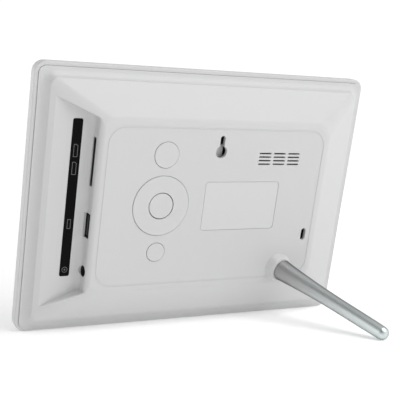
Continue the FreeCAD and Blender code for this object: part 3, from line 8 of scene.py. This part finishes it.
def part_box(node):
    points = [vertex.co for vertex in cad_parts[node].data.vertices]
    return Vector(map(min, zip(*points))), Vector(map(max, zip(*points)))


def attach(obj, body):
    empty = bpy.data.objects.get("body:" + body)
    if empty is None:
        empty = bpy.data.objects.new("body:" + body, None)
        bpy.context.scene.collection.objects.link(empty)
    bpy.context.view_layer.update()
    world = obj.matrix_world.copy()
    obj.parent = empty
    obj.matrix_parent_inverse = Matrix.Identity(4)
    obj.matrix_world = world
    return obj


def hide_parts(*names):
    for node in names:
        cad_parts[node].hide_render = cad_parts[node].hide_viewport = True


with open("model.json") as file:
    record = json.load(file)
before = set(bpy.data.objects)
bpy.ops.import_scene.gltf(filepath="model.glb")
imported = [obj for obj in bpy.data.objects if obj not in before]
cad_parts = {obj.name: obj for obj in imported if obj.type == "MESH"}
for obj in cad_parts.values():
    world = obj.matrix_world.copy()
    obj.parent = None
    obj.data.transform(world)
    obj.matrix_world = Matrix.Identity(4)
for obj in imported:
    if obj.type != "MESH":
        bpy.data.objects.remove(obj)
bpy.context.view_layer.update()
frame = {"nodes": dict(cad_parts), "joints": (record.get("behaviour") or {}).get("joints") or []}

# Digital photo frame, in the order in which it goes together: front bezel and window, screen
# module, chassis, boards and sockets, switches and buttons, rear cover with its fittings, leg.
# Metres, in the frame's own axes: X across, Y from the front towards the rear, Z up.


# ---- Front bezel ---------------------------------------------------------------------------
# Injection-moulded ABS in warm white, satin from a fine spark-eroded tool. It carries the
# window and the screen module on its inner face, and the rear cover snaps into its skirt.

SHELL_WHITE = (0.59, 0.59, 0.594, 1)


class Value:
    """A socket in a finish's node tree: sums and products of it add Math nodes."""

    def __init__(self, finish, socket):
        self.finish = finish
        self.socket = socket

    def math(self, operation, *operands):
        return self.finish.node("ShaderNodeMath", {"operation": operation}, enumerate(operands))

    def __add__(self, other):
        return self.math("ADD", self, other)

    def __sub__(self, other):
        return self.math("SUBTRACT", self, other)

    def __rsub__(self, other):
        return self.math("SUBTRACT", other, self)

    def __mul__(self, other):
        return self.math("MULTIPLY", self, other)

    def __truediv__(self, other):
        return self.math("DIVIDE", self, other)

    def __lt__(self, other):
        return self.math("LESS_THAN", self, other)

    def __abs__(self):
        return self.math("ABSOLUTE", self)

    def wave(self):
        return self.math("SINE", self)

    __radd__ = __add__
    __rmul__ = __mul__


class Finish:
    """One procedural material, ending in a single shader whose constants are given at once."""

    kind = "ShaderNodeBsdfPrincipled"
    ending = "ShaderNodeOutputMaterial"
    place_by = "Object"

    def __init__(self, name, **constants):
        self.material = self.blank(name)
        self.material.use_nodes = True
        self.tree = self.material.node_tree
        self.tree.nodes.clear()
        self.shader = self.tree.nodes.new(self.kind)
        output = self.tree.nodes.new(self.ending)
        self.tree.links.new(self.shader.outputs[0], output.inputs["Surface"])
        for key, value in constants.items():
            self.shader.inputs[key.replace("_", " ")].default_value = value
        self.place = self.node("ShaderNodeTexCoord", out=self.place_by)

    def blank(self, name):
        return bpy.data.materials.new(name)

    def node(self, kind, settings=None, values=(), out=0):
        """Adds a node, sets it up, feeds its sockets, and gives back one of its outputs."""
        made = self.tree.nodes.new(kind)
        for key, value in (settings or {}).items():
            setattr(made, key, value)
        for key, value in (values.items() if isinstance(values, dict) else values):
            if isinstance(value, Value):
                self.tree.links.new(value.socket, made.inputs[key])
            else:
                made.inputs[key].default_value = value
        return Value(self, made.outputs[out])

    def feed(self, **links):
        """Joins varying values to the shader's sockets."""
        for key, value in links.items():
            self.tree.links.new(value.socket, self.shader.inputs[key.replace("_", " ")])

    def grain(self, size, detail=2.0, roughness=0.5, where=None):
        """Soft noise whose lumps are about size metres across, from 0 to 1."""
        return self.node("ShaderNodeTexNoise", None,
                         {"Vector": where or self.place, "Scale": 0.5 / size, "Detail": detail,
                          "Roughness": roughness}, "Fac")

    def blend(self, share, first, second):
        """Colour between first and second by share."""
        return self.node("ShaderNodeMix", {"data_type": "RGBA"},
                         {"Factor": share, 6: first, 7: second}, 2)

    def emboss(self, height, depth, strength=1.0):
        """Normal from a height of 0 to 1 that stands for depth metres."""
        return self.node("ShaderNodeBump", None,
                         {"Height": height, "Distance": depth, "Strength": strength}, "Normal")

    def axes(self):
        """The three coordinates of the place on the object."""
        split = self.tree.nodes.new("ShaderNodeSeparateXYZ")
        self.tree.links.new(self.place.socket, split.inputs[0])
        return [Value(self, out) for out in split.outputs]


def dress(finish, *nodes):
    """Gives CAD nodes their finish."""
    for name in nodes:
        data = frame["nodes"][name].data
        data.materials.clear()
        data.materials.append(finish.material)


def shade(colour, factor):
    return tuple(min(1.0, c * factor) for c in colour[:3]) + (1,)


def moulded(name, colour, gloss, texture=0.00028, depth=0.000012, mottle=0.015, **constants):
    """Moulded plastic: eroded-tool grain, faint flow mottle, and rubbed-smoother patches."""
    plastic = Finish(name, **constants)
    flow = plastic.grain(0.035, 3)
    fine = plastic.grain(texture, 2)
    rubbed = plastic.grain(0.012, 4, 0.6)
    plastic.feed(
        Base_Color=plastic.blend(flow, shade(colour, 1 - mottle), shade(colour, 1 + mottle)),
        Roughness=gloss + 0.07 * (rubbed - 0.5) + 0.05 * (fine - 0.5),
        Normal=plastic.emboss(fine, depth))
    return plastic


shell = moulded("shell_white_abs", SHELL_WHITE, 0.36, Specular_IOR_Level=0.5)
dress(shell, "front_bezel")

# ---- Window --------------------------------------------------------------------------------
# Clear acrylic sheet, cut to size and polished, faintly smeared by wiping. It sits in the
# rebate behind the bezel's opening and is glued there.

pane = Finish("window_acrylic", Transmission_Weight=1.0, IOR=1.49)
smear = pane.grain(0.02, 4, 0.6)
pane.feed(Base_Color=pane.blend(smear, (0.97, 0.98, 0.98, 1), (1, 1, 1, 1)),
          Roughness=0.015 + 0.03 * smear)
dress(pane, "screen_window")

# ---- Screen module -------------------------------------------------------------------------
# Foam gasket, folded steel can, glass cell with its polariser, diffusing films, acrylic light
# guide edge-lit by a strip of LEDs, white reflector and moulded tray.

foam = Finish("gasket_foam", Specular_IOR_Level=0.2)
cells = foam.node("ShaderNodeTexVoronoi", {"feature": "F1"}, {"Vector": foam.place, "Scale": 1600},
                  "Distance")
foam.feed(Base_Color=foam.blend(cells, (0.012, 0.012, 0.013, 1), (0.05, 0.05, 0.05, 1)),
          Roughness=0.85 + 0.1 * cells, Normal=foam.emboss(cells, 0.0002))
dress(foam, "lcd_gasket")


def rolled(name, colour, gloss, streak=(40, 2200, 2200), depth=0.000004, **constants):
    """Rolled or drawn metal: long fine streaks along the sheet and cloudy gloss."""
    metal = Finish(name, Metallic=1.0, **constants)
    along = metal.node("ShaderNodeVectorMath", {"operation": "MULTIPLY"},
                       {0: metal.place, 1: streak})
    streaks = metal.node("ShaderNodeTexNoise", None,
                         {"Vector": along, "Scale": 1.0, "Detail": 3.0}, "Fac")
    cloud = metal.grain(0.006, 3)
    metal.feed(Base_Color=metal.blend(cloud, shade(colour, 0.93), shade(colour, 1.05)),
               Roughness=gloss + 0.12 * (streaks - 0.5) + 0.05 * (cloud - 0.5),
               Normal=metal.emboss(streaks, depth))
    return metal


sheet_steel = rolled("tinned_steel_sheet", (0.60, 0.60, 0.59, 1), 0.32)
dress(sheet_steel, "lcd_can", "chassis_plate", "sd_socket_shell", "lock_plate",
      "speaker_basket")

ACTIVE_W = 0.1524
ACTIVE_H = 0.0914
low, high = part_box("lcd_cell")
cell_mid = (low + high) / 2
cell = Finish("display_cell", Specular_IOR_Level=0.3, Coat_Weight=0.1, Coat_Roughness=0.08)
x, _, z = cell.axes()
in_active_area = (abs(x - cell_mid.x) < ACTIVE_W / 2) * (abs(z - cell_mid.z) < ACTIVE_H / 2)
film_haze = cell.grain(0.03, 3)
dark_glass = cell.blend(film_haze, (0.010, 0.012, 0.016, 1), (0.016, 0.018, 0.024, 1))
cell.feed(Base_Color=cell.blend(in_active_area, (0.004, 0.004, 0.005, 1), dark_glass),
          Roughness=0.18 + 0.10 * film_haze, Normal=cell.emboss(cell.grain(0.0002), 0.000003))
dress(cell, "lcd_cell")

films = moulded("diffusing_film", (0.80, 0.81, 0.82, 1), 0.5, texture=0.0001, depth=0.000006)
reflector = moulded("reflector_film", (0.86, 0.86, 0.86, 1), 0.3, texture=0.0004)
tray_white = moulded("tray_polycarbonate", (0.74, 0.74, 0.72, 1), 0.45)
dress(films, "optical_films")
dress(reflector, "reflector_sheet")
dress(tray_white, "lcd_tray")

guide = Finish("light_guide_acrylic", Transmission_Weight=0.85, IOR=1.49)
dots = guide.node("ShaderNodeTexVoronoi", {"feature": "F1"},
                  {"Vector": guide.place, "Scale": 900, "Randomness": 0.2}, "Distance")
guide.feed(Base_Color=guide.blend(dots, (0.93, 0.95, 0.96, 1), (0.98, 0.99, 0.99, 1)),
           Roughness=0.05 + 0.25 * (dots < 0.3), Normal=guide.emboss(dots, 0.00002))
dress(guide, "light_guide")


def along_x(finish, pitch):
    """0 to 1 to 0 along X, once per pitch."""
    x = finish.axes()[0]
    return x.math("PINGPONG", x, pitch / 2) / (pitch / 2)


LED_PITCH = 0.0075
leds = Finish("led_strip", Specular_IOR_Level=0.4)
emitter = along_x(leds, LED_PITCH) < 0.42
leds.feed(Base_Color=leds.blend(emitter, (0.62, 0.63, 0.60, 1), (0.83, 0.72, 0.24, 1)),
          Roughness=0.35 + 0.3 * leds.grain(0.001), Normal=leds.emboss(emitter, 0.0002))
dress(leds, "led_strip")

# ---- Chassis screws and board standoffs ----------------------------------------------------
# Small pan-head machine screws and turned standoffs, bright zinc on steel. They hold the
# chassis to the bezel's bosses and the board to the chassis; the power pin is plated alike.

zinc = rolled("bright_zinc", (0.66, 0.67, 0.69, 1), 0.26, (900, 900, 900))
dress(zinc, "chassis_screws", "board_standoffs", "board_screws", "dc_jack_pin")

# ---- Main board and its parts --------------------------------------------------------------
# Glass-epoxy board with green solder mask over copper tracks; black chip packages with grey
# laser-dulled tops; coil, capacitors, and a coin cell in its moulded clip. The plug socket's
# folded shell is near black, as painted shade for the dark inside of the port.

board = Finish("solder_mask_green", Coat_Weight=0.5, Coat_Roughness=0.15)
tracks = board.node("ShaderNodeTexBrick", {"offset": 0.37, "squash": 0.6},
                    {"Vector": board.place, "Scale": 90.0, "Mortar Size": 0.06}, "Fac")
weave = board.grain(0.0006)
board.feed(Base_Color=board.blend(tracks, (0.012, 0.085, 0.030, 1), (0.022, 0.150, 0.050, 1)),
           Roughness=0.30 + 0.15 * weave, Normal=board.emboss(tracks + 0.2 * weave, 0.00004))
dress(board, "main_board")

epoxy = moulded("chip_epoxy", (0.022, 0.022, 0.023, 1), 0.55, texture=0.00012, depth=0.000015)
dress(epoxy, "processor", "memory_chips")
ferrite = moulded("coil_ferrite", (0.045, 0.044, 0.042, 1), 0.6, texture=0.0005, depth=0.00005)
dress(ferrite, "power_coil", "speaker_magnet")
drawn_can = rolled("drawn_aluminium", (0.78, 0.78, 0.79, 1), 0.30, (600, 600, 40))
dress(drawn_can, "capacitors")
cell_steel = rolled("cell_nickel", (0.70, 0.69, 0.66, 1), 0.22, (1200, 1200, 1200))
dress(cell_steel, "coin_cell")
# Near-black shell: painted shade for the dark inside of the plug socket.
port_shade_plate = rolled("port_shade_black_plate", (0.03, 0.03, 0.03, 1), 0.5)
dress(port_shade_plate, "usb_shell")
nylon = moulded("black_nylon", (0.028, 0.028, 0.030, 1), 0.42, texture=0.0002)
dress(nylon, "cell_holder", "ribbon_connector", "sd_socket_base", "usb_tongue", "dc_jack_body",
      "push_switches", "pad_switch_stems", "menu_switch_stem", "ok_switch_stem",
      "power_switch_stem")

# ---- Ribbon and contacts -------------------------------------------------------------------
# Flat polyimide cable with copper lines showing through, from the screen to the board, and
# gold-flashed contact strips stamped from sheet and pressed into their sockets.

CONDUCTOR_PITCH = 0.001
ribbon = Finish("ribbon_polyimide", Coat_Weight=0.3)
lines = along_x(ribbon, CONDUCTOR_PITCH) < 0.5
ribbon.feed(Base_Color=ribbon.blend(lines, (0.34, 0.17, 0.035, 1), (0.46, 0.22, 0.05, 1)),
            Roughness=0.32 + 0.2 * ribbon.grain(0.004), Normal=ribbon.emboss(lines, 0.00003))
dress(ribbon, "screen_ribbon")
gold = rolled("contact_gold", (0.90, 0.66, 0.27, 1), 0.20, (200, 2500, 2500))
dress(gold, "sd_contacts", "usb_contacts")

# ---- Buttons -------------------------------------------------------------------------------
# Caps in the cover's white, from a slightly smoother tool: three round keys, and the ring of
# four directions on its nylon gimbal, all flush with the panel in fine even gaps.

cap_white = moulded("cap_white_abs", shade(SHELL_WHITE, 1.005), 0.33, texture=0.0002,
                    depth=0.000008)
dress(cap_white, "menu_button", "ok_button", "power_button", "dpad_ring")
gimbal_nylon = moulded("gimbal_nylon", (0.50, 0.50, 0.49, 1), 0.48)
dress(gimbal_nylon, "dpad_gimbal")

# ---- Rear cover ----------------------------------------------------------------------------
# One moulding in the bezel's white: coved rim, four broad slopes, raised panel with its fine
# border line, and the port bay let into the side. Snaps into the bezel.

dress(shell, "rear_cover")

# ---- Loudspeaker ---------------------------------------------------------------------------
# Black woven cloth glued behind the slits, over a pressed paper cone whose steel basket sits
# in the cover's collar.

cloth = Finish("grille_cloth", Sheen_Weight=0.3, Specular_IOR_Level=0.2)
x, _, z = cloth.axes()
THREAD = 0.0005
warp = (x * (2 * math.pi / THREAD)).wave()
weft = (z * (2 * math.pi / THREAD)).wave()
knit = 0.5 + 0.25 * (warp + weft)
cloth.feed(Base_Color=cloth.blend(knit, (0.010, 0.010, 0.010, 1), (0.05, 0.05, 0.05, 1)),
           Roughness=0.8 + 0.15 * knit, Normal=cloth.emboss(knit, 0.0001))
dress(cloth, "grille_cloth")
paper = moulded("cone_paper", (0.05, 0.048, 0.045, 1), 0.85, texture=0.0008, depth=0.00006)
dress(paper, "speaker_cone")

# ---- Labels --------------------------------------------------------------------------------
# Black polyester strip on the floor of the port bay, with small generic marks in grey ink
# beside the ports, and a blank white polyester label in its recess on the panel. Both are
# self-adhesive.

strip_film = moulded("port_strip_film", (0.003, 0.003, 0.0032, 1), 0.32, texture=0.0006,
                     depth=0.000006, mottle=0.1, Specular_IOR_Level=0.05)
dress(strip_film, "port_label")
label_film = moulded("blank_label_film", shade(SHELL_WHITE, 1.04), 0.42, texture=0.0005,
                     depth=0.000006)
dress(label_film, "rating_label")

LEAN = math.radians(12.5288)
OUT_OF_PANEL = Vector((0, math.cos(LEAN), -math.sin(LEAN)))
UP_THE_PANEL = Vector((0, math.sin(LEAN), math.cos(LEAN)))
STRIP_HALF_T = 0.00025
MARK_H = 0.00005
MARK_LINE = 0.00028
low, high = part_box("port_label")
strip_face = (low + high) / 2 + OUT_OF_PANEL * STRIP_HALF_T
mark_ink = moulded("mark_ink", (0.13, 0.13, 0.13, 1), 0.5, texture=0.0002, depth=0.000003,
                   mottle=0.08)


def outline(corners, line):
    """The inner line of a closed outline drawn line inside its corners (all turn one way)."""
    inside = []
    count = len(corners)
    for i, corner in enumerate(corners):
        before = (corner - corners[i - 1]).normalized()
        after = (corners[(i + 1) % count] - corner).normalized()
        half = (after - before).normalized()
        sine = abs(before.cross(half))
        inside.append(corner + half * (line / sine))
    return inside


def ring_points(radius, count=28):
    return [Vector((math.cos(a), math.sin(a))) * radius
            for a in (2 * math.pi * i / count for i in range(count))]


def printed_mark(name, up_strip, loops):
    """Closed lines of ink on the strip: each loop is (outer points, inner points or None)."""
    made = bmesh.new()
    centre = strip_face + UP_THE_PANEL * up_strip

    def raise_points(points, lift):
        return [made.verts.new(centre + Vector((p.x, 0, 0)) + UP_THE_PANEL * p.y
                               + OUT_OF_PANEL * lift) for p in points]

    for outer, inner in loops:
        base, top = raise_points(outer, 0), raise_points(outer, MARK_H)
        sides = [(base, top)]
        if inner:
            inner_base, inner_top = raise_points(inner, 0), raise_points(inner, MARK_H)
            sides.append((inner_top, inner_base))
            sides.append((top, inner_top))
            sides.append((inner_base, base))
        else:
            made.faces.new(top)
            made.faces.new(list(reversed(base)))
        for a, b in sides:
            for i in range(len(a)):
                made.faces.new((a[i - 1], a[i], b[i], b[i - 1]))
    bmesh.ops.recalc_face_normals(made, faces=made.faces)
    data = bpy.data.meshes.new(name)
    made.to_mesh(data)
    made.free()
    mark = bpy.data.objects.new(name, data)
    bpy.context.scene.collection.objects.link(mark)
    data.materials.append(mark_ink.material)
    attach(mark, "housing")


def closed_line(points):
    points = [Vector(p) for p in points]
    return points, outline(points, MARK_LINE)


CARD = [(-0.0012, -0.0034), (0.0012, -0.0034), (0.0012, 0.0034), (-0.0003, 0.0034),
        (-0.0012, 0.0025)]
PLUG = [(-0.0010, -0.0026), (0.0010, -0.0026), (0.0010, 0.0026), (-0.0010, 0.0026)]
printed_mark("card_mark_upper", 0.0258, [closed_line(CARD)])
printed_mark("card_mark_lower", 0.0164, [closed_line(CARD)])
printed_mark("plug_mark", -0.0136, [closed_line(PLUG)])
RING_R = 0.0016
RING_HOLE_SHARE = 0.82
DOT_SHARE = 0.3
ring = ring_points(RING_R)
printed_mark("power_mark", -0.0389,
             [(ring, [p * RING_HOLE_SHARE for p in ring]),
              ([p * DOT_SHARE for p in ring], None)])

# ---- Leg -----------------------------------------------------------------------------------
# Turned aluminium leg, bead-blasted and silver anodised, on an M6 steel stud that screws into
# a brass insert in the cover's boss.

leg_metal = Finish("leg_anodised", Metallic=1.0, Specular_Tint=(0.10, 0.10, 0.11, 1))
blast = leg_metal.grain(0.00025, 2)
cloud = leg_metal.grain(0.015, 3)
root_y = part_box("leg_insert")[1].y
tip_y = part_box("stand_leg")[1].y
along_leg = (leg_metal.axes()[1] - root_y) / (tip_y - root_y)
# Base colour dark grey at the root and light greenish grey at the tip: painted shade towards the
# cover and painted light towards the tip.
leg_root_shade_tip_light = leg_metal.blend(along_leg, (0.42, 0.415, 0.42, 1), (0.66, 0.725, 0.715, 1))
leg_metal.feed(Base_Color=leg_metal.blend(0.12 * cloud, leg_root_shade_tip_light, (0.60, 0.61, 0.61, 1)),
               Roughness=0.38 + 0.10 * (blast - 0.5) + 0.04 * (cloud - 0.5),
               Normal=leg_metal.emboss(blast, 0.000014))
dress(leg_metal, "stand_leg")
machine_steel = rolled("stud_steel", (0.55, 0.55, 0.56, 1), 0.3, (900, 900, 900))
THREAD_PITCH = 0.001
THREAD_CREST = 0.00297
THREAD_ROOT = 0.00242
THREAD_AROUND = 32
THREAD_STEPS = 8
FLANK_STEEPNESS = 1.25
END_UNDERCUT = 0.0001
STUD_L = 0.0205


def threaded_stud(name, middle, axis, length):
    """A rod whose surface rises and falls once a pitch along a helix, with bevelled ends."""
    made = bmesh.new()
    turn = axis.to_track_quat("Z", "Y").to_matrix()
    rows = round(length / THREAD_PITCH * THREAD_STEPS)
    rings = []
    for row in range(rows + 1):
        along = length * row / rows
        end_r = THREAD_ROOT + min(along, length - along) - END_UNDERCUT
        loop = []
        for step in range(THREAD_AROUND):
            phase = (along / THREAD_PITCH - step / THREAD_AROUND) % 1.0
            slope = FLANK_STEEPNESS * (1 - abs(2 * phase - 1))
            rise = min(1.0, max(0.0, slope - (FLANK_STEEPNESS - 1) / 2))
            radius = min(THREAD_ROOT + (THREAD_CREST - THREAD_ROOT) * rise, end_r)
            angle = 2 * math.pi * step / THREAD_AROUND
            spot = Vector((radius * math.cos(angle), radius * math.sin(angle), along - length / 2))
            loop.append(made.verts.new(middle + turn @ spot))
        rings.append(loop)
    for below, above in zip(rings, rings[1:]):
        for i in range(THREAD_AROUND):
            made.faces.new((below[i - 1], below[i], above[i], above[i - 1]))
    made.faces.new(list(reversed(rings[0])))
    made.faces.new(rings[-1])
    bmesh.ops.recalc_face_normals(made, faces=made.faces)
    data = bpy.data.meshes.new(name)
    made.to_mesh(data)
    made.free()
    stud = bpy.data.objects.new(name, data)
    bpy.context.scene.collection.objects.link(stud)
    return stud


low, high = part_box("leg_stud")
leg_joint = next(joint for joint in frame["joints"] if joint["name"] == "leg_unscrew")
stud = threaded_stud("threaded_stud", (low + high) / 2, Vector(leg_joint["axis"]), STUD_L)
stud.data.materials.append(machine_steel.material)
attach(stud, "leg_stud")
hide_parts("leg_stud")
brass = rolled("insert_brass", (0.80, 0.58, 0.26, 1), 0.28, (700, 700, 700))
dress(brass, "leg_insert")

# ---- Table and studio ----------------------------------------------------------------------
# Plain white sweep, lit through from below and more so away from the object; a white surround,
# dimmer overhead, on the port side and behind the camera, and brighter past the ports; and
# one broad soft light from above.

GLOW_NEAR = 0.46
GLOW_FROM = 0.20
GLOW_TO = 1.00
sweep = Finish("sweep_paper", Specular_IOR_Level=0.1, Emission_Strength=0.50)
fibre = sweep.grain(0.002, 3)
spread = sweep.node("ShaderNodeVectorMath", {"operation": "LENGTH"}, {0: sweep.place}, "Value")
glow = sweep.node("ShaderNodeMapRange", {"interpolation_type": "SMOOTHSTEP"},
                  {"Value": spread, "From Min": GLOW_FROM, "From Max": GLOW_TO})
sweep.feed(Base_Color=sweep.blend(fibre, (0.93, 0.93, 0.93, 1), (0.95, 0.95, 0.95, 1)),
           Roughness=0.85 + 0.1 * fibre,
           Emission_Color=sweep.blend(glow, shade((1, 1, 1), GLOW_NEAR), (1, 1, 1, 1)))
SWEEP_SIZE = 8
bpy.ops.mesh.primitive_plane_add(size=SWEEP_SIZE, location=(0, 0, 0))
floor = bpy.context.object
floor.name = "sweep"
floor.data.materials.append(sweep.material)

WALL_LIGHT = 1.06
PAST_PORTS_MORE = 0.72
BRIGHTEST = WALL_LIGHT + PAST_PORTS_MORE
CEILING = (Vector((0, 0, 1)), 0.16, 0.75, -0.64)
PORT_SIDE = (Vector((0.82, 0.56, 0.12)), 0.20, 0.95, -0.38)
BEHIND_CAMERA = (Vector((0.487, 0.871, 0.065)), 0.40, 0.95, -0.32)
PAST_PORTS = (Vector((0.85, -0.52, 0.09)), 0.60, 0.95, PAST_PORTS_MORE)
LEG_SIDE = (Vector((-0.90, 0.40, 0.10)), 0.30, 0.95, 0.08)


class Surround(Finish):
    """The studio's walls, as one background whose light the nodes vary by direction."""

    kind = "ShaderNodeBackground"
    ending = "ShaderNodeOutputWorld"
    place_by = "Generated"

    def blank(self, name):
        return bpy.data.worlds.new(name)


walls = Surround("studio_walls", Strength=BRIGHTEST)


def patch(towards, start, end, change):
    """Change of the walls' light about a direction, full where the cosine to it passes end."""
    facing = walls.node("ShaderNodeVectorMath", {"operation": "DOT_PRODUCT"},
                        {0: walls.place, 1: towards.normalized()}, "Value")
    return change * walls.node("ShaderNodeMapRange", {"interpolation_type": "SMOOTHSTEP"},
                               {"Value": facing, "From Min": start, "From Max": end})


level = WALL_LIGHT + sum(patch(*area) for area in (CEILING, PORT_SIDE, BEHIND_CAMERA,
                                                   PAST_PORTS, LEG_SIDE))
walls.feed(Color=walls.blend(level / BRIGHTEST, (0, 0, 0, 1), (1, 1, 1, 1)))
bpy.context.scene.world = walls.material


def soft_light(name, place, target, size, power):
    """A square light of that size, facing target."""
    data = bpy.data.lights.new(name, "AREA")
    data.shape = "SQUARE"
    data.size = size
    data.energy = power
    light = bpy.data.objects.new(name, data)
    bpy.context.scene.collection.objects.link(light)
    light.location = place
    light.rotation_euler = (Vector(target) - Vector(place)).to_track_quat("-Z", "Y").to_euler()


soft_light("softbox", (-0.32, 0.67, 1.08), (0, 0, 0.07), 1.3, 11.2)

# ---- Camera --------------------------------------------------------------------------------
# Short telephoto, behind the frame on its port side and a little above its middle, held
# almost level.

CAMERA_AT = Vector((0.2533, 0.4237, 0.1040))
CAMERA_RIGHT = Vector((-0.8734, 0.4866, 0.0202)).normalized()
CAMERA_BACK = Vector((0.4868, 0.8711, 0.0652)).normalized()
CAMERA_UP = CAMERA_BACK.cross(CAMERA_RIGHT)
SENSOR_MM = 36.0
FOCAL_MM = 82.99
lens = bpy.data.cameras.new("camera")
lens.sensor_width = SENSOR_MM
lens.lens = FOCAL_MM
camera = bpy.data.objects.new("camera", lens)
bpy.context.scene.collection.objects.link(camera)
turn = Matrix((CAMERA_RIGHT, CAMERA_UP, CAMERA_BACK)).transposed()
camera.matrix_world = Matrix.Translation(CAMERA_AT) @ turn.to_4x4()
bpy.context.scene.camera = camera
bpy.context.scene.view_settings.view_transform = "Standard"
